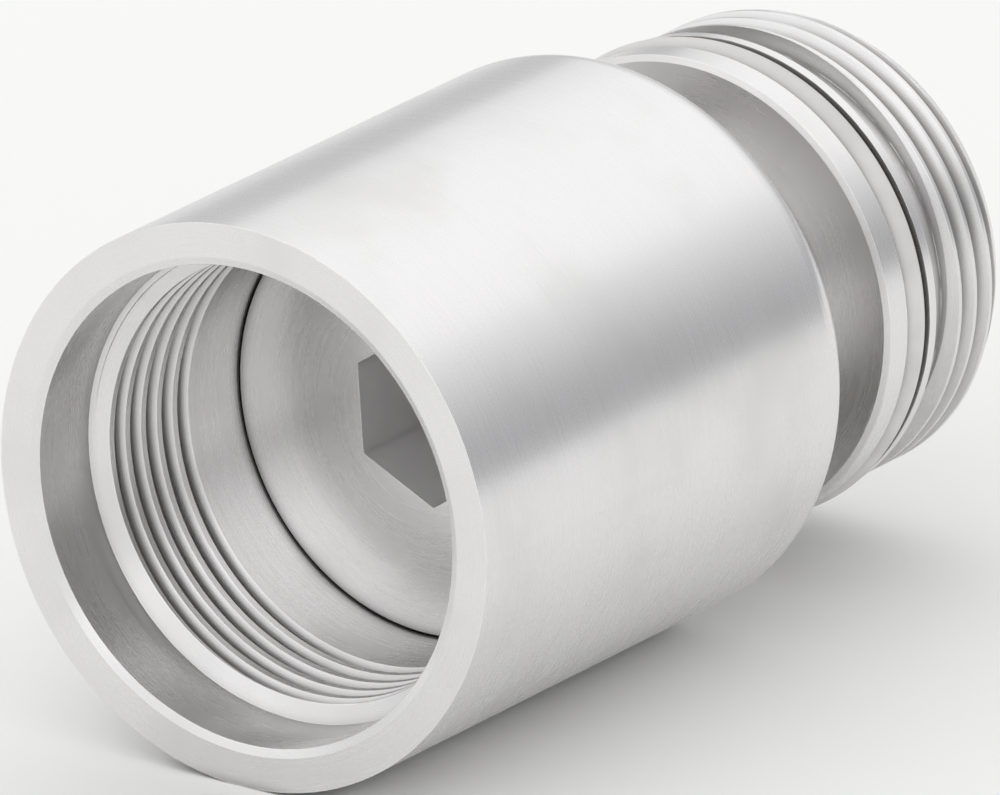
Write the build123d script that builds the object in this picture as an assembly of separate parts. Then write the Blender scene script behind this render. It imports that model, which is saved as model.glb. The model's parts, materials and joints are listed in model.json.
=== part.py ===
from build123d import *
import os
from math import cos, radians, tan

# Round swivel pipe coupling, G 1 1/4 female to G 1 1/4 male, in millimetres.
# A long union sleeve turns and slides on a hollow stem, and the stem is screwed into a sealed,
# threaded spigot. Every piece is turned about one axis. It is drawn standing on +Z, with the
# socket mouth at station 0. It is laid along +Y when it is written out: the mouth faces -Y, and
# the origin lies on the axis, halfway along.

# ---- driving dimensions -------------------------------------------------------------------
# Pipe thread G 1 1/4 (ISO 228), used by the socket and by the spigot
PIPE_MAJOR = 41.91
PIPE_PITCH = 2.309
PIPE_FLANK = 27.5            # angle of each flank from the square section, degrees
PIPE_DEPTH = 1.479           # crest to root of the male thread
PIPE_FLAT = 0.385            # width of the flat at a root

# Union sleeve
SLEEVE_LENGTH = 55.2
MOUTH_WALL = 3.8             # radial, round the counterbore
SLEEVE_REAR_ROUND = 3.6
SLEEVE_REAR_WALL = 6.4
MOUTH_CHAMFER_WIDTH = 0.75
MOUTH_CHAMFER_DEPTH = 0.35
COUNTERBORE_ALLOWANCE = 0.495  # radial, over the thread's major radius
COUNTERBORE_DEPTH = 7.45
LEAD_IN_DEPTH = 0.8
SOCKET_THREAD_DEPTH = 1.155  # radial, from the thread's major radius to the tap bore
SOCKET_THREAD_LENGTH = 13.14  # counterbore to the end of the groove's middle
SOCKET_CREST_OFFSET = 5.56   # counterbore to one crest, at SOCKET_CREST_ANGLE about the axis
SOCKET_CREST_ANGLE = 147.6
SOCKET_ROOT_CLEARANCE = 0.05

# Hollow stem
HEAD_LENGTH = 20.0
HEAD_EDGE_BREAK = 0.15
NECK_DIAMETER = 28.0
NECK_REACH = 10.85           # bare neck between the sleeve and the spigot
HEXAGON_ACROSS_FLATS = 14.0
HEXAGON_DEPTH = 15.0
HEXAGON_TURN = -4.5          # about the axis, from two flats square to X
STEM_BORE_DIAMETER = 13.5
PILOT_CHAMFER = 0.5          # at the far mouth of the stem's bore
SHANK_DIAMETER = 26.0
SHANK_LENGTH = 12.6
SHANK_THREAD_PITCH = 1.5
SHANK_THREAD_DEPTH = 0.92
SHANK_THREAD_FLAT = 0.19
SHANK_THREAD_FLANK = 30.0
NUT_RELIEF_LENGTH = 1.2      # undercut at the bottom of the spigot's nut thread
SHANK_LEAD_DEPTH = 0.9       # radial depth of the lead chamfer at the shank's end
SHANK_LEAD_ANGLE = 45.0

# Seals of the stem
HEAD_GROOVE_DEPTH = 2.1
HEAD_GROOVE_WIDTH = 3.2
HEAD_GROOVE_OFFSET = 8.2     # face of the head to the middle of its first groove
HEAD_GROOVE_SPACING = 6.2
JOINT_GROOVE_DEPTH = 1.75
JOINT_GROOVE_WIDTH = 2.5
JOINT_GROOVE_OFFSET = 0.7    # from the front of the spigot to the groove

# Guide bush
BUSH_FLANGE_THICKNESS = 1.6
BUSH_WALL = 1.5
BUSH_FLANGE_MARGIN = 0.4     # flange edge to the sleeve's bore
BUSH_RECESS = 0.6            # end of the bush to the sleeve's rear face

# Threaded spigot
SPIGOT_LAND_CLEARANCE = 0.2  # radial, in the counterbore of a mating socket
SPIGOT_LAND_LENGTH = 2.82
SPIGOT_CHAMFER_WIDTH = 0.56
SPIGOT_CHAMFER_DEPTH = 0.27
SEAL_GROOVE_WIDTH = 3.39
SEAL_GROOVE_DEPTH = 2.77
COLLAR_LENGTH = 0.98         # behind the seal groove, as wide as the land
THREAD_RELIEF_LENGTH = 3.48
THREAD_RELIEF_DEPTH = 1.58   # below the thread's crests
SPIGOT_THREAD_LENGTH = 8.31
SPIGOT_CREST_OFFSET = 0.5    # from the thread relief to one crest, at SPIGOT_CREST_ANGLE
SPIGOT_CREST_ANGLE = -32.4
SPIGOT_LEAD_DEPTH = 1.48     # radial depth of the lead chamfer at the free end
SPIGOT_LEAD_ANGLE = 30.0     # angle of the lead chamfer from the axis, degrees
SPIGOT_BORE_DIAMETER = 20.0
SPIGOT_BORE_CHAMFER = 0.8

# Seal of the spigot
SEAL_SQUEEZE = 0.17          # radial, past the wall of a mating socket's counterbore

# Fits
RUNNING_CLEARANCE = 0.05     # radial, between pieces that turn or slide
SEAL_CLEARANCE = 0.02        # round a seal drawn at its fitted size
THREAD_CLEARANCE = 0.05      # between the shank's thread and its nut thread
SEAT_CLEARANCE = 0.1         # radial, between the shank and the seat of its seal
OVERRUN = 0.2                # how far a cutting profile reaches past the wall it cuts
BLANK_ALLOWANCE = 5.0        # length that is cut off a threaded blank once its thread is cut

# ---- stations along the axis --------------------------------------------------------------
SHOULDER = SLEEVE_LENGTH - SLEEVE_REAR_WALL
HEAD_REAR = SHOULDER - BUSH_FLANGE_THICKNESS
HEAD_FACE = HEAD_REAR - HEAD_LENGTH
FRONT_HEAD_GROOVE = HEAD_FACE + HEAD_GROOVE_OFFSET
REAR_HEAD_GROOVE = FRONT_HEAD_GROOVE + HEAD_GROOVE_SPACING
SPIGOT_FRONT = SLEEVE_LENGTH + NECK_REACH
GROOVE_FRONT = SPIGOT_FRONT + SPIGOT_LAND_LENGTH
GROOVE_REAR = GROOVE_FRONT + SEAL_GROOVE_WIDTH
RELIEF_FRONT = GROOVE_REAR + COLLAR_LENGTH
RELIEF_REAR = RELIEF_FRONT + THREAD_RELIEF_LENGTH
SPIGOT_END = RELIEF_REAR + SPIGOT_THREAD_LENGTH
SHANK_END = SPIGOT_FRONT + SHANK_LENGTH
JOINT_GROOVE_FRONT = SPIGOT_FRONT + JOINT_GROOVE_OFFSET
JOINT_GROOVE_REAR = JOINT_GROOVE_FRONT + JOINT_GROOVE_WIDTH

# ---- radii --------------------------------------------------------------------------------
PIPE_CREST = PIPE_MAJOR / 2
COUNTERBORE = PIPE_CREST + COUNTERBORE_ALLOWANCE
SLEEVE = COUNTERBORE + MOUTH_WALL
TAP_BORE = PIPE_CREST - SOCKET_THREAD_DEPTH
HEAD = TAP_BORE - RUNNING_CLEARANCE
HEAD_GROOVE = HEAD - HEAD_GROOVE_DEPTH
NECK = NECK_DIAMETER / 2
SHANK = SHANK_DIAMETER / 2
JOINT_GROOVE = SHANK - JOINT_GROOVE_DEPTH
JOINT_SEAT = SHANK + SEAT_CLEARANCE
NUT_THREAD_MINOR = SHANK - SHANK_THREAD_DEPTH + 2 * THREAD_CLEARANCE
BUSH_BORE = NECK + RUNNING_CLEARANCE
BUSH_OUTSIDE = BUSH_BORE + BUSH_WALL
BUSH_FLANGE = TAP_BORE - BUSH_FLANGE_MARGIN
SLEEVE_REAR_BORE = BUSH_OUTSIDE + RUNNING_CLEARANCE
SPIGOT_LAND = COUNTERBORE - SPIGOT_LAND_CLEARANCE
SEAL_GROOVE = SPIGOT_LAND - SEAL_GROOVE_DEPTH
SEAL_OUTSIDE = COUNTERBORE + SEAL_SQUEEZE
THREAD_RELIEF = PIPE_CREST - THREAD_RELIEF_DEPTH


def turned(*outline):
    """Solid turned about the axis from the (radius, station) corners of its section."""
    corners = [(radius, 0, station) for radius, station in outline]
    return revolve(make_face(Polyline(*corners, close=True)), axis=Axis.Z)


def groove_ring(outer, inner, front, rear):
    """Square ring to cut away, between two radii and two stations."""
    return turned((inner, front), (outer, front), (outer, rear), (inner, rear))


def helical_cutter(pitch, flank, floor_flat, floor, opening, crest_station, crest_angle, first, last):
    """Right-hand groove cutter, swept from the station `first` to the station `last`.

    Its section is a trapezium whose narrow side, `floor_flat` wide, lies at the radius `floor`.
    The groove's middle runs half a pitch behind a crest at `crest_station` and `crest_angle`.
    """
    half_floor = floor_flat / 2
    half_opening = half_floor + abs(opening - floor) * tan(radians(flank))
    middle = crest_station + pitch / 2
    start_angle = crest_angle + 360 * (first - middle) / pitch
    path = Helix(pitch=pitch, height=last - first, radius=(floor + opening) / 2)
    section = make_face(
        Polyline(
            (floor, 0, -half_floor),
            (opening, 0, -half_opening),
            (opening, 0, half_opening),
            (floor, 0, half_floor),
            close=True,
        )
    )
    cutter = sweep(section, path=path, is_frenet=True)
    return Pos(0, 0, first) * Rot(0, 0, start_angle) * cutter


def end_cut(crest, lead_depth, lead_angle, bore, bore_chamfer, end):
    """Facing cut past the station `end`, with a lead chamfer outside and a chamfered bore.

    It follows the thread cutting, so the groove runs out through the finished end.
    """
    lead_reach = (lead_depth + OVERRUN) / tan(radians(lead_angle))
    past_blank = end + BLANK_ALLOWANCE + OVERRUN
    return turned(
        (0, end - bore_chamfer),
        (bore, end - bore_chamfer),
        (bore + bore_chamfer, end),
        (crest - lead_depth, end),
        (crest + OVERRUN, end - lead_reach),
        (crest + OVERRUN, past_blank),
        (0, past_blank),
    )


def o_ring(inner, outer, middle):
    """O-ring at its fitted size, with the seal clearance to the two walls it lies between."""
    cord = (outer - inner) / 2 - SEAL_CLEARANCE
    return Pos(0, 0, middle) * Torus((inner + outer) / 2, cord)


def union_sleeve():
    """Long round union nut: chamfered mouth, counterbore, female thread and rear shoulder."""
    body = turned(
        (COUNTERBORE + MOUTH_CHAMFER_WIDTH, 0),
        (SLEEVE, 0),
        (SLEEVE, SLEEVE_LENGTH),
        (SLEEVE_REAR_BORE, SLEEVE_LENGTH),
        (SLEEVE_REAR_BORE, SHOULDER),
        (TAP_BORE, SHOULDER),
        (TAP_BORE, COUNTERBORE_DEPTH + LEAD_IN_DEPTH),
        (COUNTERBORE, COUNTERBORE_DEPTH),
        (COUNTERBORE, MOUTH_CHAMFER_DEPTH),
    )
    rear_edge = body.edges().filter_by(GeomType.CIRCLE).group_by(Axis.Z)[-1].sort_by(SortBy.RADIUS)[-1]
    body = fillet(rear_edge, SLEEVE_REAR_ROUND)
    thread = helical_cutter(
        PIPE_PITCH,
        PIPE_FLANK,
        PIPE_FLAT,
        PIPE_CREST + SOCKET_ROOT_CLEARANCE,
        TAP_BORE - OVERRUN,
        COUNTERBORE_DEPTH + SOCKET_CREST_OFFSET,
        SOCKET_CREST_ANGLE,
        COUNTERBORE_DEPTH,
        COUNTERBORE_DEPTH + SOCKET_THREAD_LENGTH,
    )
    return body - thread


def hollow_stem():
    """Head with the hexagon socket, neck, and threaded shank, bored through."""
    pilot = STEM_BORE_DIAMETER / 2
    blank_end = SHANK_END + BLANK_ALLOWANCE
    body = turned(
        (pilot, HEAD_FACE),
        (HEAD - HEAD_EDGE_BREAK, HEAD_FACE),
        (HEAD, HEAD_FACE + HEAD_EDGE_BREAK),
        (HEAD, HEAD_REAR),
        (NECK, HEAD_REAR),
        (NECK, SPIGOT_FRONT),
        (SHANK, SPIGOT_FRONT),
        (SHANK, blank_end),
        (pilot, blank_end),
    )
    for middle in (FRONT_HEAD_GROOVE, REAR_HEAD_GROOVE):
        front = middle - HEAD_GROOVE_WIDTH / 2
        body -= groove_ring(HEAD + OVERRUN, HEAD_GROOVE, front, front + HEAD_GROOVE_WIDTH)
    body -= groove_ring(SHANK + OVERRUN, JOINT_GROOVE, JOINT_GROOVE_FRONT, JOINT_GROOVE_REAR)
    corner_radius = HEXAGON_ACROSS_FLATS / 2 / cos(radians(30))
    hexagon = extrude(RegularPolygon(corner_radius, 6, rotation=30), HEXAGON_DEPTH)
    body -= Pos(0, 0, HEAD_FACE) * Rot(0, 0, HEXAGON_TURN) * hexagon
    body -= helical_cutter(
        SHANK_THREAD_PITCH,
        SHANK_THREAD_FLANK,
        SHANK_THREAD_FLAT,
        SHANK - SHANK_THREAD_DEPTH,
        SHANK + OVERRUN,
        JOINT_GROOVE_REAR,
        0,
        JOINT_GROOVE_REAR - SHANK_THREAD_PITCH / 2,
        SHANK_END + SHANK_THREAD_PITCH,
    )
    return body - end_cut(SHANK, SHANK_LEAD_DEPTH, SHANK_LEAD_ANGLE, pilot, PILOT_CHAMFER, SHANK_END)


def guide_bush():
    """Flanged plain bearing between the stem's neck and the sleeve's rear bore."""
    return turned(
        (BUSH_BORE, HEAD_REAR),
        (BUSH_FLANGE, HEAD_REAR),
        (BUSH_FLANGE, SHOULDER),
        (BUSH_OUTSIDE, SHOULDER),
        (BUSH_OUTSIDE, SLEEVE_LENGTH - BUSH_RECESS),
        (BUSH_BORE, SLEEVE_LENGTH - BUSH_RECESS),
    )


def threaded_spigot():
    """Spigot screwed onto the stem's shank: land, seal groove, collar, relief and male thread."""
    face_edge = SPIGOT_LAND - SPIGOT_CHAMFER_WIDTH
    bore = SPIGOT_BORE_DIAMETER / 2
    blank_front = SPIGOT_FRONT - BLANK_ALLOWANCE
    blank_end = SPIGOT_END + BLANK_ALLOWANCE
    body = turned(
        (NUT_THREAD_MINOR, blank_front),
        (face_edge, blank_front),
        (face_edge, SPIGOT_FRONT),
        (SPIGOT_LAND, SPIGOT_FRONT + SPIGOT_CHAMFER_DEPTH),
        (SPIGOT_LAND, GROOVE_FRONT),
        (SEAL_GROOVE, GROOVE_FRONT),
        (SEAL_GROOVE, GROOVE_REAR),
        (SPIGOT_LAND, GROOVE_REAR),
        (SPIGOT_LAND, RELIEF_FRONT + OVERRUN),
        (PIPE_CREST, RELIEF_FRONT + OVERRUN),
        (PIPE_CREST, blank_end),
        (bore, blank_end),
        (bore, SHANK_END),
        (NUT_THREAD_MINOR, SHANK_END),
    )
    body -= helical_cutter(
        PIPE_PITCH,
        PIPE_FLANK,
        PIPE_FLAT,
        PIPE_CREST - PIPE_DEPTH,
        PIPE_CREST + OVERRUN,
        RELIEF_REAR + SPIGOT_CREST_OFFSET,
        SPIGOT_CREST_ANGLE,
        (RELIEF_FRONT + RELIEF_REAR) / 2,
        SPIGOT_END + PIPE_PITCH,
    )
    body -= groove_ring(SPIGOT_LAND + OVERRUN, THREAD_RELIEF, RELIEF_FRONT, RELIEF_REAR)
    body -= helical_cutter(
        SHANK_THREAD_PITCH,
        SHANK_THREAD_FLANK,
        SHANK_THREAD_FLAT + THREAD_CLEARANCE,
        SHANK + THREAD_CLEARANCE,
        NUT_THREAD_MINOR - OVERRUN,
        JOINT_GROOVE_REAR + SHANK_THREAD_PITCH / 2,
        0,
        SPIGOT_FRONT - SHANK_THREAD_PITCH,
        SHANK_END - NUT_RELIEF_LENGTH / 2,
    )
    body -= end_cut(
        PIPE_CREST, SPIGOT_LEAD_DEPTH, SPIGOT_LEAD_ANGLE, bore, SPIGOT_BORE_CHAMFER, SPIGOT_END
    )
    # The front is faced and the seal's seat bored once the nut thread is cut
    body -= turned(
        (0, blank_front - OVERRUN),
        (SPIGOT_LAND, blank_front - OVERRUN),
        (SPIGOT_LAND, SPIGOT_FRONT),
        (JOINT_SEAT, SPIGOT_FRONT),
        (JOINT_SEAT, JOINT_GROOVE_REAR),
        (0, JOINT_GROOVE_REAR),
    )
    relief_front = SHANK_END - NUT_RELIEF_LENGTH
    return body - groove_ring(JOINT_SEAT, NUT_THREAD_MINOR - OVERRUN, relief_front, SHANK_END)


def spigot_seal():
    """The O-ring in the spigot's groove, which seals in a mating socket's counterbore."""
    return o_ring(SEAL_GROOVE, SEAL_OUTSIDE, (GROOVE_FRONT + GROOVE_REAR) / 2)


def head_o_ring(middle):
    """An O-ring between the stem's head and the sleeve."""
    return o_ring(HEAD_GROOVE, TAP_BORE, middle)


def joint_o_ring():
    """The O-ring that seals the shank in the spigot."""
    return o_ring(JOINT_GROOVE, JOINT_SEAT, (JOINT_GROOVE_FRONT + JOINT_GROOVE_REAR) / 2)


PIECES = {
    "union_sleeve": union_sleeve(),
    "guide_bush": guide_bush(),
    "hollow_stem": hollow_stem(),
    "front_head_o_ring": head_o_ring(FRONT_HEAD_GROOVE),
    "rear_head_o_ring": head_o_ring(REAR_HEAD_GROOVE),
    "threaded_spigot": threaded_spigot(),
    "spigot_seal": spigot_seal(),
    "joint_o_ring": joint_o_ring(),
}

os.makedirs("parts", exist_ok=True)
for name, piece in PIECES.items():
    lying = Pos(0, -SPIGOT_END / 2, 0) * Rot(-90, 0, 0) * piece
    export_step(lying, f"parts/{name}.step")
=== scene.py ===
"""Looks of a round swivel pipe coupling: nickel-plated brass with rubber seals.

Everything is in metres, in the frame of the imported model: the axis runs along +Y, from the
socket's mouth to the spigot's end, and +Z is up. The sizes of textures and details are given in
millimetres and multiplied by MM.
"""

import json
import logging
import math
from dataclasses import dataclass, field
from enum import Enum
from typing import Any

import bpy
from mathutils import Matrix, Vector

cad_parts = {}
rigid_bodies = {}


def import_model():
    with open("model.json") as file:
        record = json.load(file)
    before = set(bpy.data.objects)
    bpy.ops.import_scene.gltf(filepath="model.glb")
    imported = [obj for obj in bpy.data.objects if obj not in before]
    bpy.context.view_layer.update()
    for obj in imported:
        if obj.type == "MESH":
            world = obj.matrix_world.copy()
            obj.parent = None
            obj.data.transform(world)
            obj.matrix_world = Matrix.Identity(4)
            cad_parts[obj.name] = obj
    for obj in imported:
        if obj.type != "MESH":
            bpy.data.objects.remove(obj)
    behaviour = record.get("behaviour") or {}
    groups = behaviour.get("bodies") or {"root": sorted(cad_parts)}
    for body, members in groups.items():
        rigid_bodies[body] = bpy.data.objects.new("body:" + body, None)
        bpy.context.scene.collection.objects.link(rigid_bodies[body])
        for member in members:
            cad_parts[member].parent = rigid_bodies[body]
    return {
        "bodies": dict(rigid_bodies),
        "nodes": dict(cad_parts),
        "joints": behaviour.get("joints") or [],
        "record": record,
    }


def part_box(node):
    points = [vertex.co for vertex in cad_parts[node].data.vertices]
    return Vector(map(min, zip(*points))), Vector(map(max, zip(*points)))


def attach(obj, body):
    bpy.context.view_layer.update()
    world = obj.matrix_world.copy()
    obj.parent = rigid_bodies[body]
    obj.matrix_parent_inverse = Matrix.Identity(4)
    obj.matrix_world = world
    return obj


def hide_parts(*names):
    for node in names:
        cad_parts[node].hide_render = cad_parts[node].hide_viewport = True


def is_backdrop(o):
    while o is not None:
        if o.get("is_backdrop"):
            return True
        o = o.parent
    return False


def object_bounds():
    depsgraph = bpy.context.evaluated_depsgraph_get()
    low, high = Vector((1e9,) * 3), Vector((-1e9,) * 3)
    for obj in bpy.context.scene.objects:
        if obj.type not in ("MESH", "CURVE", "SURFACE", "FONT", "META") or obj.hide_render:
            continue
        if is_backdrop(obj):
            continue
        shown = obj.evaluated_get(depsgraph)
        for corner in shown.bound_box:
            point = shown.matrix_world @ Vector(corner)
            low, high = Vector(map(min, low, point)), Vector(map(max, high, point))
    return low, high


LOG = logging.getLogger("coupling")
MM = 0.001
QUARTER_TURN = 0.25  # as a share of a whole turn
SHAPE_SAMPLES = 6  # rays of a node that feels the shape round a point
Node = bpy.types.Node
Socket = bpy.types.NodeSocket
Tree = bpy.types.NodeTree
Colour = tuple[float, float, float, float]


# ---- colour and nodes -----------------------------------------------------------------------


def linear(hex_colour: str) -> Colour:
    """Linear RGBA of an sRGB hex colour.

    Args:
        hex_colour: Six hex digits after a hash sign.

    Returns:
        Red, green, blue and an alpha of 1.
    """
    digits = hex_colour.lstrip("#")
    channels = [int(digits[i : i + 2], 16) / 255 for i in (0, 2, 4)]
    curve = [c / 12.92 if c <= 0.04045 else ((c + 0.055) / 1.055) ** 2.4 for c in channels]
    return (curve[0], curve[1], curve[2], 1.0)


def add_node(tree: Tree, kind: str, inputs: dict[str | int, Any] | None = None, **settings: Any) -> Node:
    """Adds a node with its settings, and sets or links its inputs.

    Args:
        tree: The node tree that gets the node.
        kind: Blender's type name of the node.
        inputs: Input name or number to a value, or to the output socket that feeds it.
        settings: Properties of the node itself.

    Returns:
        The new node.
    """
    node = tree.nodes.new(kind)
    for name, value in settings.items():
        setattr(node, name, value)
    for key, value in (inputs or {}).items():
        if isinstance(value, Socket):
            tree.links.new(value, node.inputs[key])
        else:
            node.inputs[key].default_value = value
    return node


# ---- finishes -------------------------------------------------------------------------------


class Finish:
    """A material that knows how to build its own node tree.

    Attributes:
        name: Name of the material.
    """

    name: str

    def build(self) -> bpy.types.Material:
        """Makes the material, with a Principled shader that `dress` then feeds.

        Returns:
            The new material.
        """
        material = bpy.data.materials.new(self.name)
        material.use_nodes = True
        tree = material.node_tree
        tree.nodes.clear()
        shader = add_node(tree, "ShaderNodeBsdfPrincipled")
        self.dress(tree, shader)
        add_node(tree, "ShaderNodeOutputMaterial", {"Surface": shader.outputs[0]})
        return material

    def dress(self, tree: Tree, shader: Node) -> None:
        """Feeds the shader. Each finish has its own."""
        raise NotImplementedError


@dataclass(frozen=True)
class Turning:
    """Where a point lies on a piece turned about the Y axis, in millimetres.

    Attributes:
        radius: Distance from the axis.
        station: Place along the axis.
        across: Unit direction from the axis, its X part.
        upward: Unit direction from the axis, its Z part.
    """

    radius: Socket
    station: Socket
    across: Socket
    upward: Socket

    @staticmethod
    def on(tree: Tree) -> "Turning":
        """Reads the place in the object's own space, so that it moves with the piece.

        Args:
            tree: The node tree of the material.

        Returns:
            The place, as sockets of that tree.
        """
        place = add_node(tree, "ShaderNodeTexCoord").outputs["Object"]
        in_mm = add_node(tree, "ShaderNodeVectorMath", {0: place, "Scale": 1 / MM}, operation="SCALE")
        parts = add_node(tree, "ShaderNodeSeparateXYZ", {0: in_mm.outputs[0]}).outputs
        arm = add_node(tree, "ShaderNodeCombineXYZ", {"X": parts["X"], "Z": parts["Z"]}).outputs[0]
        length = add_node(tree, "ShaderNodeVectorMath", {0: arm}, operation="LENGTH")
        heading = add_node(tree, "ShaderNodeVectorMath", {0: arm}, operation="NORMALIZE")
        around = add_node(tree, "ShaderNodeSeparateXYZ", {0: heading.outputs[0]}).outputs
        return Turning(length.outputs["Value"], parts["Y"], around["X"], around["Z"])

    def marks(self, tree: Tree, feed: float, drift: float) -> Socket:
        """Fine rings about the axis, such as a lathe tool leaves on walls and faces alike.

        Args:
            tree: The node tree of the material.
            feed: Distance between rings in millimetres.
            drift: How much a ring changes on its way round, in noise units.

        Returns:
            The height of the rings, from 0 to 1.
        """
        out = add_node(tree, "ShaderNodeMath", {0: self.radius, 1: feed}, operation="DIVIDE")
        along = add_node(tree, "ShaderNodeMath", {0: self.station, 1: feed}, operation="DIVIDE")
        sideways = add_node(tree, "ShaderNodeMath", {0: self.across, 1: drift}, operation="MULTIPLY")
        upwards = add_node(tree, "ShaderNodeMath", {0: self.upward, 1: drift}, operation="MULTIPLY")
        place = add_node(
            tree,
            "ShaderNodeCombineXYZ",
            {"X": out.outputs[0], "Y": along.outputs[0], "Z": sideways.outputs[0]},
        )
        noise = add_node(
            tree,
            "ShaderNodeTexNoise",
            {"Vector": place.outputs[0], "W": upwards.outputs[0], "Scale": 1.0, "Roughness": 0.6},
            noise_dimensions="4D",
        )
        return noise.outputs[0]


@dataclass(frozen=True)
class NickelPlate(Finish):
    """Satin nickel plate over turned brass.

    The plating is thin enough to keep the tool's rings, and the rings draw every reflection out
    across themselves: into bands along a wall, and into spokes on a face. Edges are rubbed
    brighter, hollows get a painted grey shade from ambient occlusion, and handling leaves faint
    duller patches.

    Attributes:
        name: Name of the material.
        colour: Colour of the clean plate.
        stained: Colour of the duller patches.
        rubbed: Colour of the edges that handling has polished.
        recess_shade: Painted shade, a grey that darkens thread roots and inner corners where ambient
            occlusion finds them.
        roughness: Roughness of the clean plate.
        ring_roughness: How much rougher the top of a tool ring is than its foot.
        patch_roughness: How much rougher a handled patch is.
        worn_smoothing: How much smoother a rubbed edge is.
        stretch: Anisotropy, by which the rings draw a reflection out across themselves.
        feed: Spacing of the tool's rings in millimetres.
        drift: How much a ring changes on its way round, in noise units.
        mark_depth: Height of the rings in millimetres.
        patch_size: Size of the handled patches in millimetres.
        wear_reach: How far from an edge handling rubs, in millimetres.
        wear_patch: Size in millimetres of the stretches that an edge is rubbed in.
        shelter_reach: How near in millimetres the walls of a recess stand that gets painted shade.
        easing: Radius in millimetres that every edge is eased to.
    """

    name: str
    colour: str = "#e7e6e6"
    stained: str = "#dddcdb"
    rubbed: str = "#f5f4f4"
    # Grey painted shade for thread roots and inner corners
    recess_shade: str = "#757372"
    roughness: float = 0.27
    ring_roughness: float = 0.1
    patch_roughness: float = 0.03
    worn_smoothing: float = 0.08
    stretch: float = 0.55
    feed: float = 0.4
    drift: float = 0.25
    mark_depth: float = 0.009
    patch_size: float = 15.0
    wear_reach: float = 0.28
    wear_patch: float = 2.5
    shelter_reach: float = 1.6
    easing: float = 0.06

    def dress(self, tree: Tree, shader: Node) -> None:
        """Colour from patches, painted shade in hollows and wear, roughness and relief from the tool's
        rings.

        Args:
            tree: The node tree of the material.
            shader: The shader to feed.
        """
        turning = Turning.on(tree)
        # A finishing cut is fed at about 0.1 mm a turn; it is drawn coarser so that it shows
        height = self.relief(tree, turning, turning.marks(tree, self.feed, self.drift))
        patches = self.patches(tree)
        worn = self.worn_edges(tree)
        colour = self.clean(tree, turning)
        # The second layer is painted shade: a darker colour where ambient occlusion finds a hollow
        layers = ((patches, self.stained), (self.painted_recess_shade(tree), self.recess_shade), (worn, self.rubbed))
        for amount, other in layers:
            mixed = add_node(
                tree, "ShaderNodeMix", {0: amount, 6: colour, 7: linear(other)}, data_type="RGBA"
            )
            colour = mixed.outputs[2]
        rough = self.roughness - self.ring_roughness / 2
        changes = (
            (height, self.ring_roughness),
            (patches, self.patch_roughness),
            (worn, -self.worn_smoothing),
        )
        for amount, change in changes:
            summed = add_node(
                tree, "ShaderNodeMath", {0: amount, 1: change, 2: rough}, operation="MULTIPLY_ADD"
            )
            rough = summed.outputs[0]
        self.dull(tree, turning, shader, rough)
        eased = add_node(tree, "ShaderNodeBevel", {"Radius": self.easing * MM}, samples=SHAPE_SAMPLES)
        relief = add_node(
            tree,
            "ShaderNodeBump",
            {"Height": height, "Distance": self.mark_depth * MM, "Normal": eased.outputs[0]},
        )
        tangent = add_node(tree, "ShaderNodeTangent", direction_type="RADIAL", axis="Y")
        tree.links.new(colour, shader.inputs["Base Color"])
        tree.links.new(relief.outputs[0], shader.inputs["Normal"])
        tree.links.new(tangent.outputs[0], shader.inputs["Tangent"])
        shader.inputs["Anisotropic"].default_value = self.stretch
        shader.inputs["Anisotropic Rotation"].default_value = QUARTER_TURN

    def clean(self, tree: Tree, turning: Turning) -> Socket | Colour:
        """Colour of the plate before stains, painted shade and wear: here one colour."""
        return linear(self.colour)

    def relief(self, tree: Tree, turning: Turning, marks: Socket) -> Socket:
        """Height of the surface: here the tool's rings alone."""
        return marks

    def dull(self, tree: Tree, turning: Turning, shader: Node, rough: Socket) -> None:
        """Feeds the shader's metallic and roughness: here those of the turned plate alone."""
        shader.inputs["Metallic"].default_value = 1.0
        tree.links.new(rough, shader.inputs["Roughness"])

    def patches(self, tree: Tree) -> Socket:
        """Faint soft patches that handling leaves.

        Args:
            tree: The node tree of the material.

        Returns:
            How far a point lies in a patch, from 0 to 1.
        """
        place = add_node(tree, "ShaderNodeTexCoord").outputs["Object"]
        noise = add_node(
            tree,
            "ShaderNodeTexNoise",
            {"Vector": place, "Scale": 1 / (self.patch_size * MM), "Detail": 3.0, "Roughness": 0.55},
        )
        return add_node(
            tree,
            "ShaderNodeMapRange",
            {"Value": noise.outputs[0], "From Min": 0.42, "From Max": 0.8},
            interpolation_type="SMOOTHSTEP",
        ).outputs[0]

    def worn_edges(self, tree: Tree) -> Socket:
        """Edges that handling has rubbed bright, in uneven stretches.

        Args:
            tree: The node tree of the material.

        Returns:
            How far a point lies on such an edge, from 0 to 1.
        """
        rounded = add_node(
            tree, "ShaderNodeBevel", {"Radius": self.wear_reach * MM}, samples=SHAPE_SAMPLES
        )
        flat = add_node(tree, "ShaderNodeNewGeometry").outputs["Normal"]
        agree = add_node(
            tree, "ShaderNodeVectorMath", {0: rounded.outputs[0], 1: flat}, operation="DOT_PRODUCT"
        )
        edge = add_node(
            tree,
            "ShaderNodeMapRange",
            {"Value": agree.outputs["Value"], "From Min": 0.98, "From Max": 0.8},
            interpolation_type="SMOOTHSTEP",
        )
        place = add_node(tree, "ShaderNodeTexCoord").outputs["Object"]
        noise = add_node(
            tree, "ShaderNodeTexNoise", {"Vector": place, "Scale": 1 / (self.wear_patch * MM)}
        )
        uneven = add_node(
            tree,
            "ShaderNodeMapRange",
            {"Value": noise.outputs[0], "From Min": 0.3, "From Max": 0.6},
            interpolation_type="SMOOTHSTEP",
        )
        return add_node(
            tree, "ShaderNodeMath", {0: edge.outputs[0], 1: uneven.outputs[0]}, operation="MULTIPLY"
        ).outputs[0]

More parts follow.
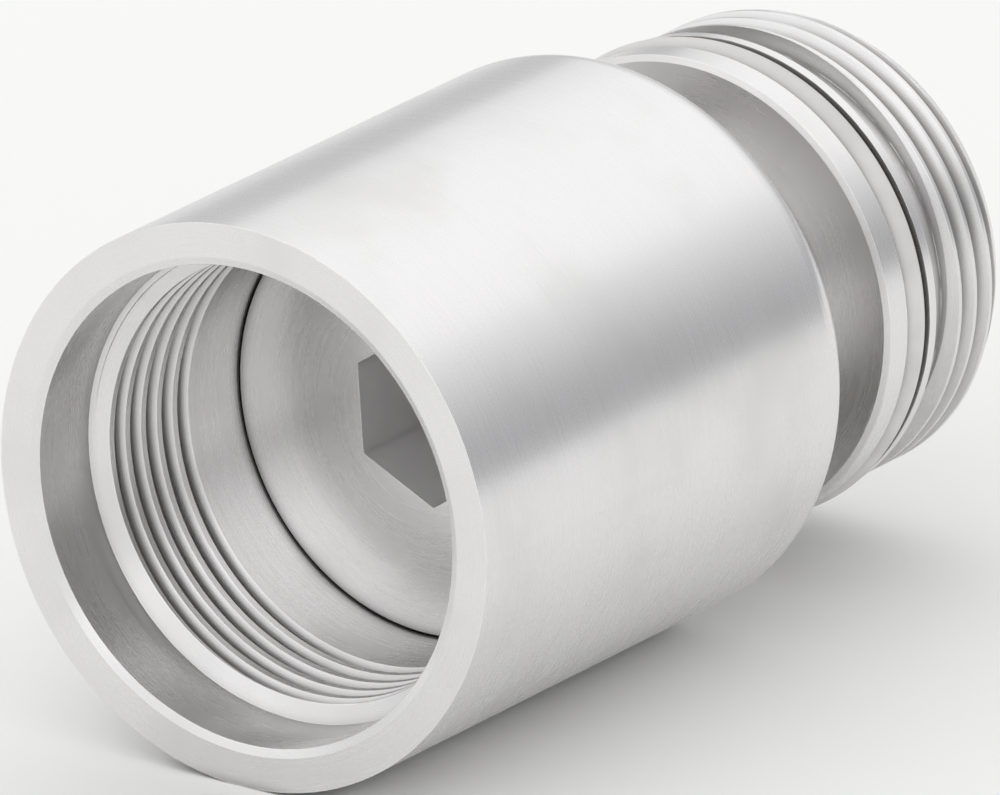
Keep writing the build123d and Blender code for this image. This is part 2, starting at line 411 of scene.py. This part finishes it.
    def painted_recess_shade(self, tree: Tree) -> Socket:
        """Painted shade in thread roots and inner corners, found by ambient occlusion.

        Args:
            tree: The node tree of the material.

        Returns:
            How much painted shade a point gets, from 0 to 0.8.
        """
        shelter = add_node(
            tree,
            "ShaderNodeAmbientOcclusion",
            {"Distance": self.shelter_reach * MM},
            samples=SHAPE_SAMPLES,
        )
        return add_node(
            tree,
            "ShaderNodeMapRange",
            {"Value": shelter.outputs["AO"], "From Min": 0.9, "From Max": 0.35, "To Max": 0.8},
            interpolation_type="SMOOTHSTEP",
        ).outputs[0]


@dataclass(frozen=True)
class BroachedPlate(NickelPlate):
    """Nickel plate on the stem, whose hexagon socket is cut by a broach and not turned.

    The broach leaves straight lines along the key's way, and a duller wall than turning does.
    The socket is also painted a lighter colour: painted light on walls that sit in shade.

    Attributes:
        socket_painted_light: Lighter colour of the socket's walls and floor, painted light for walls in
            shade.
        corner: Distance in millimetres from the axis to just past the hexagon's corners.
        face: Station in millimetres of the face that the socket is cut into.
        face_gap: How far below that face the walls' finish starts, in millimetres.
        depth: Depth of the socket in millimetres, down to just past its floor.
        line_width: Width of a broaching line in millimetres.
        line_length: Length of a broaching line in millimetres.
        scatter: How much less metallic the walls look, since their light comes from each other.
        added_roughness: How much rougher the walls are than the turned plate.
    """

    # Lighter than the plate: painted light for the socket's shaded walls
    socket_painted_light: str = "#efeeee"
    corner: float = 8.2
    face: float = 0.0
    face_gap: float = 0.05
    depth: float = 15.1
    line_width: float = 0.35
    line_length: float = 9.0
    scatter: float = 0.8
    added_roughness: float = 0.35

    def inside(self, tree: Tree, turning: Turning) -> Socket:
        """Where the hexagon socket is.

        Args:
            tree: The node tree of the material.
            turning: Where the point lies.

        Returns:
            1 on the socket's walls and floor, and 0 elsewhere.
        """
        within = add_node(
            tree, "ShaderNodeMath", {0: turning.radius, 1: self.corner}, operation="LESS_THAN"
        )
        half = self.depth / 2
        along = add_node(
            tree,
            "ShaderNodeMath",
            {0: turning.station, 1: self.face + self.face_gap + half, 2: half},
            operation="COMPARE",
        )
        return add_node(
            tree, "ShaderNodeMath", {0: within.outputs[0], 1: along.outputs[0]}, operation="MULTIPLY"
        ).outputs[0]

    def clean(self, tree: Tree, turning: Turning) -> Socket | Colour:
        """The plate's colour, and inside the socket a lighter colour that is painted light.

        Args:
            tree: The node tree of the material.
            turning: Where the point lies.

        Returns:
            The colour before stains, painted shade and wear.
        """
        # Inside the socket the colour is lightened: painted light on walls in shade
        return add_node(
            tree,
            "ShaderNodeMix",
            {0: self.inside(tree, turning), 6: linear(self.colour), 7: linear(self.socket_painted_light)},
            data_type="RGBA",
        ).outputs[2]

    def relief(self, tree: Tree, turning: Turning, marks: Socket) -> Socket:
        """The tool's rings, with straight broaching lines in their place inside the socket.

        Args:
            tree: The node tree of the material.
            turning: Where the point lies.
            marks: Height of the rings.

        Returns:
            The height of the surface, from 0 to 1.
        """
        place = add_node(tree, "ShaderNodeTexCoord").outputs["Object"]
        # A broach scores finer lines than these; they are drawn coarser so that they show
        sideways = 1 / (self.line_width * MM)
        lengthways = 1 / (self.line_length * MM)
        stretched = add_node(
            tree,
            "ShaderNodeVectorMath",
            {0: place, 1: (sideways, lengthways, sideways)},
            operation="MULTIPLY",
        )
        lines = add_node(tree, "ShaderNodeTexNoise", {"Vector": stretched.outputs[0], "Scale": 1.0})
        mixed = add_node(
            tree, "ShaderNodeMix", {0: self.inside(tree, turning), 2: marks, 3: lines.outputs[0]}
        )
        return mixed.outputs[0]

    def dull(self, tree: Tree, turning: Turning, shader: Node, rough: Socket) -> None:
        """Feeds the shader's metallic and roughness, with walls in the socket that scatter more.

        Args:
            tree: The node tree of the material.
            turning: Where the point lies.
            shader: The shader to feed.
            rough: Roughness of the turned plate.
        """
        inside = self.inside(tree, turning)
        feeds = (("Metallic", -self.scatter, 1.0), ("Roughness", self.added_roughness, rough))
        for name, change, start in feeds:
            summed = add_node(
                tree, "ShaderNodeMath", {0: inside, 1: change, 2: start}, operation="MULTIPLY_ADD"
            )
            tree.links.new(summed.outputs[0], shader.inputs[name])


@dataclass(frozen=True)
class TurnedAcetal(Finish):
    """Natural acetal, turned: a waxy off-white plastic with faint tool rings.

    Attributes:
        name: Name of the material.
        colour: Colour of the plastic.
        shaded: Colour where it clouds.
        roughness: Roughness of the turned surface.
        ring_roughness: How much rougher the top of a tool ring is than its foot.
        feed: Spacing of the tool's rings in millimetres.
        drift: How much a ring changes on its way round, in noise units.
        mark_depth: Height of the rings in millimetres.
        cloud_size: Size of the clouds in millimetres.
        ior: Refractive index of acetal.
        glow: Share of the light that is carried below the surface.
        glow_reach: How far it is carried in millimetres, for red, green and blue.
    """

    name: str = "turned_acetal"
    colour: str = "#ebe8e0"
    shaded: str = "#e0dcd1"
    roughness: float = 0.4
    ring_roughness: float = 0.12
    feed: float = 0.3
    drift: float = 0.3
    mark_depth: float = 0.005
    cloud_size: float = 6.0
    ior: float = 1.48
    glow: float = 0.15
    glow_reach: tuple[float, float, float] = (1.2, 1.0, 0.8)

    def dress(self, tree: Tree, shader: Node) -> None:
        """Off-white that clouds a little, with a little light carried below the surface.

        Args:
            tree: The node tree of the material.
            shader: The shader to feed.
        """
        marks = Turning.on(tree).marks(tree, self.feed, self.drift)
        place = add_node(tree, "ShaderNodeTexCoord").outputs["Object"]
        cloud = add_node(
            tree, "ShaderNodeTexNoise", {"Vector": place, "Scale": 1 / (self.cloud_size * MM)}
        )
        colour = add_node(
            tree,
            "ShaderNodeMix",
            {0: cloud.outputs[0], 6: linear(self.colour), 7: linear(self.shaded)},
            data_type="RGBA",
        )
        rough = add_node(
            tree,
            "ShaderNodeMath",
            {0: marks, 1: self.ring_roughness, 2: self.roughness - self.ring_roughness / 2},
            operation="MULTIPLY_ADD",
        )
        relief = add_node(tree, "ShaderNodeBump", {"Height": marks, "Distance": self.mark_depth * MM})
        tree.links.new(colour.outputs[2], shader.inputs["Base Color"])
        tree.links.new(rough.outputs[0], shader.inputs["Roughness"])
        tree.links.new(relief.outputs[0], shader.inputs["Normal"])
        shader.inputs["IOR"].default_value = self.ior
        shader.inputs["Subsurface Weight"].default_value = self.glow
        shader.inputs["Subsurface Radius"].default_value = tuple(reach * MM for reach in self.glow_reach)
        shader.inputs["Subsurface Scale"].default_value = 1.0


@dataclass(frozen=True)
class MouldedRubber(Finish):
    """Compression-moulded rubber: matte, with the fine grain of a spark-eroded mould.

    Attributes:
        name: Name of the material.
        colour: Colour of the rubber.
        dusty: Colour where fine dust or bloom lies on it.
        roughness: Roughness of the moulded skin.
        grain_roughness: How much rougher the top of the grain is than its foot.
        grain: Size of the mould's grain in millimetres.
        grain_depth: Height of the grain in millimetres.
        bloom_size: Size of the dusty patches in millimetres.
        ior: Refractive index of rubber.
    """

    name: str
    colour: str
    dusty: str
    roughness: float = 0.5
    grain_roughness: float = 0.12
    grain: float = 0.18
    grain_depth: float = 0.012
    bloom_size: float = 5.0
    ior: float = 1.41

    def dress(self, tree: Tree, shader: Node) -> None:
        """Matte skin with grain, and a light bloom in patches.

        Args:
            tree: The node tree of the material.
            shader: The shader to feed.
        """
        place = add_node(tree, "ShaderNodeTexCoord").outputs["Object"]
        # The mould's grain is nearer 0.03 mm; it is drawn coarser so that it shows
        grain = add_node(tree, "ShaderNodeTexNoise", {"Vector": place, "Scale": 1 / (self.grain * MM)})
        cloud = add_node(
            tree, "ShaderNodeTexNoise", {"Vector": place, "Scale": 1 / (self.bloom_size * MM)}
        )
        bloom = add_node(
            tree,
            "ShaderNodeMapRange",
            {"Value": cloud.outputs[0], "From Min": 0.4, "From Max": 0.8},
            interpolation_type="SMOOTHSTEP",
        )
        colour = add_node(
            tree,
            "ShaderNodeMix",
            {0: bloom.outputs[0], 6: linear(self.colour), 7: linear(self.dusty)},
            data_type="RGBA",
        )
        rough = add_node(
            tree,
            "ShaderNodeMath",
            {
                0: grain.outputs[0],
                1: self.grain_roughness,
                2: self.roughness - self.grain_roughness / 2,
            },
            operation="MULTIPLY_ADD",
        )
        relief = add_node(
            tree, "ShaderNodeBump", {"Height": grain.outputs[0], "Distance": self.grain_depth * MM}
        )
        tree.links.new(colour.outputs[2], shader.inputs["Base Color"])
        tree.links.new(rough.outputs[0], shader.inputs["Roughness"])
        tree.links.new(relief.outputs[0], shader.inputs["Normal"])
        shader.inputs["IOR"].default_value = self.ior


class Rubber(Enum):
    """The two rubbers of the seals."""

    PALE_SILICONE = MouldedRubber("moulded_pale_silicone", colour="#d5d3d1", dusty="#e3e2e0")
    BLACK_NITRILE = MouldedRubber("moulded_black_nitrile", colour="#242425", dusty="#39393b")


# ---- the object -----------------------------------------------------------------------------


@dataclass
class Coupling:
    """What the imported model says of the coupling, for the sub-assemblies to use.

    Attributes:
        frame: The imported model, with its nodes as objects.
        record: The record that was packed with it.
    """

    frame: dict[str, Any]
    record: dict[str, Any] = field(init=False)

    def __post_init__(self) -> None:
        """Keeps the record at hand."""
        self.record = self.frame["record"]

    def body_of(self, node: str) -> str:
        """The body that a node moves with."""
        bodies = self.record["behaviour"]["bodies"]
        return next(body for body, nodes in bodies.items() if node in nodes)

    def slot_of(self, node: str) -> str:
        """The material slot that the record gives a node."""
        return next(part["material_slot"] for part in self.record["subparts"] if part["node"] == node)

    def paint(self, node: str, finish: Finish) -> None:
        """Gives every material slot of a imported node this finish.

        Args:
            node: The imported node.
            finish: What its surface is.
        """
        material = finish.build()
        for place in self.frame["nodes"][node].material_slots:
            place.material = material
        LOG.info("%s: %s", node, material.name)


@dataclass
class MouldedRing:
    """A moulded O-ring, with the fine ridge that the halves of its mould leave.

    Attributes:
        coupling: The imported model.
        node: The CAD node that the ring stands for.
        rubber: What it is moulded from.
        turns: Steps about the axis.
        steps: Steps about the cord.
        ridge: Height of the parting ridge in metres.
        ridge_reach: Half width of the parting ridge in metres.
        crowding: How far the corners are drawn towards the ridges, in radians.
    """

    coupling: Coupling
    node: str
    rubber: Rubber
    turns: int = 180
    steps: int = 64
    ridge: float = 0.04 * MM
    ridge_reach: float = 0.12 * MM
    crowding: float = 0.42

    def section(self, cord: float) -> list[tuple[float, float]]:
        """Corners of the cord's section, closer together near its two ridges.

        Args:
            cord: Radius of the cord, up to the top of its ridges.

        Returns:
            The corners, each as a distance outward and one along the axis.
        """
        corners = []
        for step in range(self.steps):
            turn = 2 * math.pi * step / self.steps
            angle = turn - self.crowding * math.sin(2 * turn)
            off_ridge = cord * math.sin(angle) / self.ridge_reach
            reach = cord - self.ridge * (1 - math.exp(-(off_ridge**2)))
            corners.append((reach * math.cos(angle), reach * math.sin(angle)))
        return corners

    def build(self) -> None:
        """Makes the ring where its CAD node lies, and puts it in that node's place."""
        low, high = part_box(self.node)
        cord = (high.y - low.y) / 2
        middle_radius = high.x - cord
        station = (high.y + low.y) / 2
        vertices = []
        faces = []
        for turn in range(self.turns):
            angle = 2 * math.pi * turn / self.turns
            here = turn * self.steps
            following = (turn + 1) % self.turns * self.steps
            for step, (outward, along) in enumerate(self.section(cord)):
                radius = middle_radius + outward
                vertices.append((radius * math.cos(angle), station + along, radius * math.sin(angle)))
                onward = (step + 1) % self.steps
                faces.append((here + step, here + onward, following + onward, following + step))
        mesh = bpy.data.meshes.new(f"moulded_{self.node}")
        mesh.from_pydata(vertices, [], faces)
        mesh.shade_smooth()
        mesh.materials.append(self.rubber.value.build())
        ring = bpy.data.objects.new(mesh.name, mesh)
        bpy.context.scene.collection.objects.link(ring)
        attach(ring, self.coupling.body_of(self.node))
        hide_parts(self.node)
        self.coupling.slot_of(self.node)
        LOG.info("%s: %s, cord %.2f mm", ring.name, mesh.materials[0].name, 2 * cord / MM)


@dataclass
class UnionSleeve:
    """The long round sleeve with the female thread.

    Attributes:
        coupling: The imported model.
        node: The CAD node of the sleeve, whose shape is kept.
    """

    coupling: Coupling
    node: str = "union_sleeve"

    def build(self) -> None:
        """Plates the sleeve."""
        self.coupling.paint(self.node, NickelPlate("nickel_plated_brass_sleeve"))


@dataclass
class StemAssembly:
    """The hollow stem with its seals and the bush on its neck.

    Attributes:
        coupling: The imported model.
        rings: The CAD nodes of the O-rings.
        turns: Steps of a small O-ring about the axis.
        steps: Steps of a small O-ring about its cord.
    """

    coupling: Coupling
    rings: tuple[str, ...] = ("front_head_o_ring", "rear_head_o_ring", "joint_o_ring")
    turns: int = 120
    steps: int = 32

    def build(self) -> None:
        """Plates the stem, finishes the bush and makes the O-rings."""
        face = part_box("hollow_stem")[0].y / MM
        self.coupling.paint("hollow_stem", BroachedPlate("nickel_plated_brass_stem", face=face))
        self.coupling.paint("guide_bush", TurnedAcetal())
        for ring in self.rings:
            MouldedRing(self.coupling, ring, Rubber.BLACK_NITRILE, self.turns, self.steps).build()


@dataclass
class SealedSpigot:
    """The threaded spigot and the O-ring in its groove.

    Attributes:
        coupling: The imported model.
    """

    coupling: Coupling

    def build(self) -> None:
        """Plates the spigot and makes its O-ring."""
        self.coupling.paint("threaded_spigot", NickelPlate("nickel_plated_brass_spigot"))
        MouldedRing(self.coupling, "spigot_seal", Rubber.PALE_SILICONE).build()


# ---- the studio -----------------------------------------------------------------------------


@dataclass
class Studio:
    """Pale floor that runs out into a pale background, soft light and the camera.

    Attributes:
        azimuth: Direction of the camera about +Z, in degrees from -Y towards +X.
        elevation: Height of the camera above the horizon in degrees.
        lens: Focal length in millimetres, long so that parallel edges stay nearly parallel. Much
            above this, the camera of a turned view stands beyond its own clipping distance.
        sensor: Width of the sensor in millimetres.
        margin: Share of the frame's width left free on each side.
        nudge: Last move of the camera in metres, to its right and upwards. The near mouth looks
            larger than the far spigot, and this centres the view as a parallel one would be.
        first_distance: Distance of the camera in metres that its fit starts from.
        fit_rounds: How often the fit is repeated.
        nearest: Nearest distance in metres that the camera sees.
        farthest: Farthest distance in metres that the camera sees.
        floor_colour: Colour of the floor under the object.
        floor_half: Half the side of the floor in metres.
        fade_start: Distance in metres from the object where the floor starts to pale.
        fade_end: Distance in metres from the object where it has the background's colour.
        backdrop: Colour of the background, and of the floor far from the object.
        dark_wall: Colour of the surroundings behind the object and to the camera's right.
        light_wall: Colour of the surroundings opposite.
        light_side: Direction from the object to the light wall.
        ceiling: Colour of the surroundings overhead.
        ceiling_start: Sine of the elevation where the walls start to turn into the ceiling.
        ceiling_full: Sine of the elevation where the ceiling has its own colour.
        ambient: Strength of the light from the surroundings.
        lamp_distance: Metres from the object to every lamp.
    """

    azimuth: float = 35.0
    elevation: float = 20.0
    lens: float = 1200.0
    sensor: float = 36.0
    margin: float = 0.0025
    nudge: Vector = field(default_factory=lambda: Vector((0.00011, 0.00033, 0.0)))
    first_distance: float = 3.0
    fit_rounds: int = 4
    nearest: float = 0.1
    farthest: float = 20.0
    floor_colour: str = "#f6f6f5"
    floor_half: float = 3.0
    fade_start: float = 0.1
    fade_end: float = 0.45
    backdrop: str = "#fafafa"
    dark_wall: str = "#b6b7b9"
    light_wall: str = "#ededed"
    light_side: tuple[float, float, float] = (-0.6, -0.8, 0.0)
    ceiling: str = "#ffffff"
    ceiling_start: float = 0.1
    ceiling_full: float = 0.62
    ambient: float = 0.96
    lamp_distance: float = 1.3

    def floor(self, height: float) -> None:
        """Pale matte floor under the object, whose far part shows the background's colour.

        Args:
            height: Level of the floor in metres.
        """
        mesh = bpy.data.meshes.new("floor")
        half = self.floor_half
        corners = [(x * half, y * half, height) for x, y in ((-1, -1), (1, -1), (1, 1), (-1, 1))]
        mesh.from_pydata(corners, [], [(0, 1, 2, 3)])
        floor = bpy.data.objects.new("floor", mesh)
        bpy.context.scene.collection.objects.link(floor)
        material = bpy.data.materials.new("pale_floor")
        material.use_nodes = True
        tree = material.node_tree
        tree.nodes.clear()
        painted = add_node(
            tree, "ShaderNodeBsdfPrincipled", {"Base Color": linear(self.floor_colour), "Roughness": 0.9}
        )
        far_away = add_node(tree, "ShaderNodeEmission", {"Color": linear(self.backdrop)})
        place = add_node(tree, "ShaderNodeTexCoord").outputs["Object"]
        distance = add_node(tree, "ShaderNodeVectorMath", {0: place}, operation="LENGTH")
        fade = add_node(
            tree,
            "ShaderNodeMapRange",
            {"Value": distance.outputs["Value"], "From Min": self.fade_start, "From Max": self.fade_end},
            interpolation_type="SMOOTHSTEP",
        )
        path = add_node(tree, "ShaderNodeLightPath").outputs
        seen = add_node(
            tree, "ShaderNodeMath", {0: path["Is Camera Ray"], 1: path["Is Glossy Ray"]}, operation="MAXIMUM"
        )
        amount = add_node(
            tree, "ShaderNodeMath", {0: fade.outputs[0], 1: seen.outputs[0]}, operation="MULTIPLY"
        )
        mixed = add_node(
            tree,
            "ShaderNodeMixShader",
            {0: amount.outputs[0], 1: painted.outputs[0], 2: far_away.outputs[0]},
        )
        add_node(tree, "ShaderNodeOutputMaterial", {"Surface": mixed.outputs[0]})
        mesh.materials.append(material)
        floor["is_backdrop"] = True

    def world(self) -> None:
        """Soft surroundings: a bright ceiling and grey walls, darker behind and to the right."""
        world = bpy.data.worlds.new("studio")
        world.use_nodes = True
        bpy.context.scene.world = world
        tree = world.node_tree
        tree.nodes.clear()
        heading = add_node(tree, "ShaderNodeTexCoord").outputs["Generated"]
        height = add_node(tree, "ShaderNodeSeparateXYZ", {0: heading}).outputs["Z"]
        overhead = add_node(
            tree,
            "ShaderNodeMapRange",
            {"Value": height, "From Min": self.ceiling_start, "From Max": self.ceiling_full},
            interpolation_type="SMOOTHSTEP",
        )
        facing = add_node(
            tree,
            "ShaderNodeVectorMath",
            {0: heading, 1: self.light_side},
            operation="DOT_PRODUCT",
        )
        side = add_node(
            tree,
            "ShaderNodeMapRange",
            {"Value": facing.outputs["Value"], "From Min": -0.9, "From Max": 0.9},
            interpolation_type="SMOOTHSTEP",
        )
        walls = add_node(
            tree,
            "ShaderNodeMix",
            {0: side.outputs[0], 6: linear(self.dark_wall), 7: linear(self.light_wall)},
            data_type="RGBA",
        )
        room = add_node(
            tree,
            "ShaderNodeMix",
            {0: overhead.outputs[0], 6: walls.outputs[2], 7: linear(self.ceiling)},
            data_type="RGBA",
        )
        lit = add_node(tree, "ShaderNodeBackground", {"Color": room.outputs[2], "Strength": self.ambient})
        shown = add_node(tree, "ShaderNodeBackground", {"Color": linear(self.backdrop), "Strength": 1.0})
        path = add_node(tree, "ShaderNodeLightPath").outputs
        mixed = add_node(
            tree, "ShaderNodeMixShader", {0: path["Is Camera Ray"], 1: lit.outputs[0], 2: shown.outputs[0]}
        )
        add_node(tree, "ShaderNodeOutputWorld", {"Surface": mixed.outputs[0]})

    def lamp(self, name: str, heading: Vector, size: float, power: float) -> None:
        """A square soft lamp that faces the object.

        Args:
            name: Name of the lamp.
            heading: Direction from the object to the lamp.
            size: Side of the lamp in metres.
            power: Watts.
        """
        light = bpy.data.lights.new(name, "AREA")
        light.size = size
        light.energy = power
        lamp = bpy.data.objects.new(name, light)
        bpy.context.scene.collection.objects.link(lamp)
        lamp.location = heading.normalized() * self.lamp_distance
        lamp.rotation_mode = "QUATERNION"
        lamp.rotation_quaternion = heading.to_track_quat("Z", "Y")
        lamp.visible_camera = False
        LOG.info("%s lamp: %.1f W", name, power)

    def lamps(self) -> None:
        """The key and overhead lamps, one that reaches into the mouth, and a weak one for the gap."""
        self.lamp("key", Vector((-0.55, -0.6, 0.75)), size=1.4, power=1.2)
        self.lamp("overhead", Vector((-0.1, 0.77, 0.63)), size=1.5, power=1.5)
        self.lamp("mouth", Vector((0.3, -0.9, 0.5)), size=1.0, power=1.3)
        self.lamp("fill", Vector((1.0, -0.25, 0.25)), size=0.8, power=0.4)

    def camera(self, nodes: list[bpy.types.Object]) -> None:
        """Aims a long lens from the viewing angle, so that the object just fills the frame.

        Args:
            nodes: The objects that the frame is fitted to.
        """
        azimuth, elevation = math.radians(self.azimuth), math.radians(self.elevation)
        back = Vector(
            (
                math.sin(azimuth) * math.cos(elevation),
                -math.cos(azimuth) * math.cos(elevation),
                math.sin(elevation),
            )
        )
        turn = back.to_track_quat("Z", "Y")
        data = bpy.data.cameras.new("camera")
        data.lens = self.lens
        data.sensor_width = self.sensor
        camera = bpy.data.objects.new("camera", data)
        bpy.context.scene.collection.objects.link(camera)
        bpy.context.scene.camera = camera
        camera.rotation_mode = "QUATERNION"
        camera.rotation_quaternion = turn
        points = [v.co for node in nodes for v in node.data.vertices]
        place = back * self.first_distance
        for _ in range(self.fit_rounds):
            view = Matrix.Translation(place) @ turn.to_matrix().to_4x4()
            local = [view.inverted() @ point for point in points]
            across = [p.x / -p.z for p in local]
            upward = [p.y / -p.z for p in local]
            distance = place.dot(back)
            middle = Vector(((min(across) + max(across)) / 2, (min(upward) + max(upward)) / 2, 0.0))
            width = (max(across) - min(across)) * (1 + 2 * self.margin)
            place = place + turn @ (middle * distance)
            place = place + back * distance * (width * self.lens / self.sensor - 1)
        camera.location = place + turn @ self.nudge
        data.clip_start = self.nearest
        data.clip_end = self.farthest
        LOG.info("camera at %s, %.3f m away", tuple(round(c, 4) for c in camera.location), place.length)


def main() -> None:
    """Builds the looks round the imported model, in order."""
    logging.basicConfig(level=logging.INFO, format="%(name)s: %(message)s")
    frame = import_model()
    packed_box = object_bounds()
    coupling = Coupling(frame)
    for assembly in (UnionSleeve(coupling), StemAssembly(coupling), SealedSpigot(coupling)):
        assembly.build()
    studio = Studio()
    studio.floor(packed_box[0].z)
    studio.world()
    studio.lamps()
    studio.camera(list(frame["nodes"].values()))
    bpy.context.scene.view_settings.view_transform = "Standard"


if __name__ == "__main__":
    main()
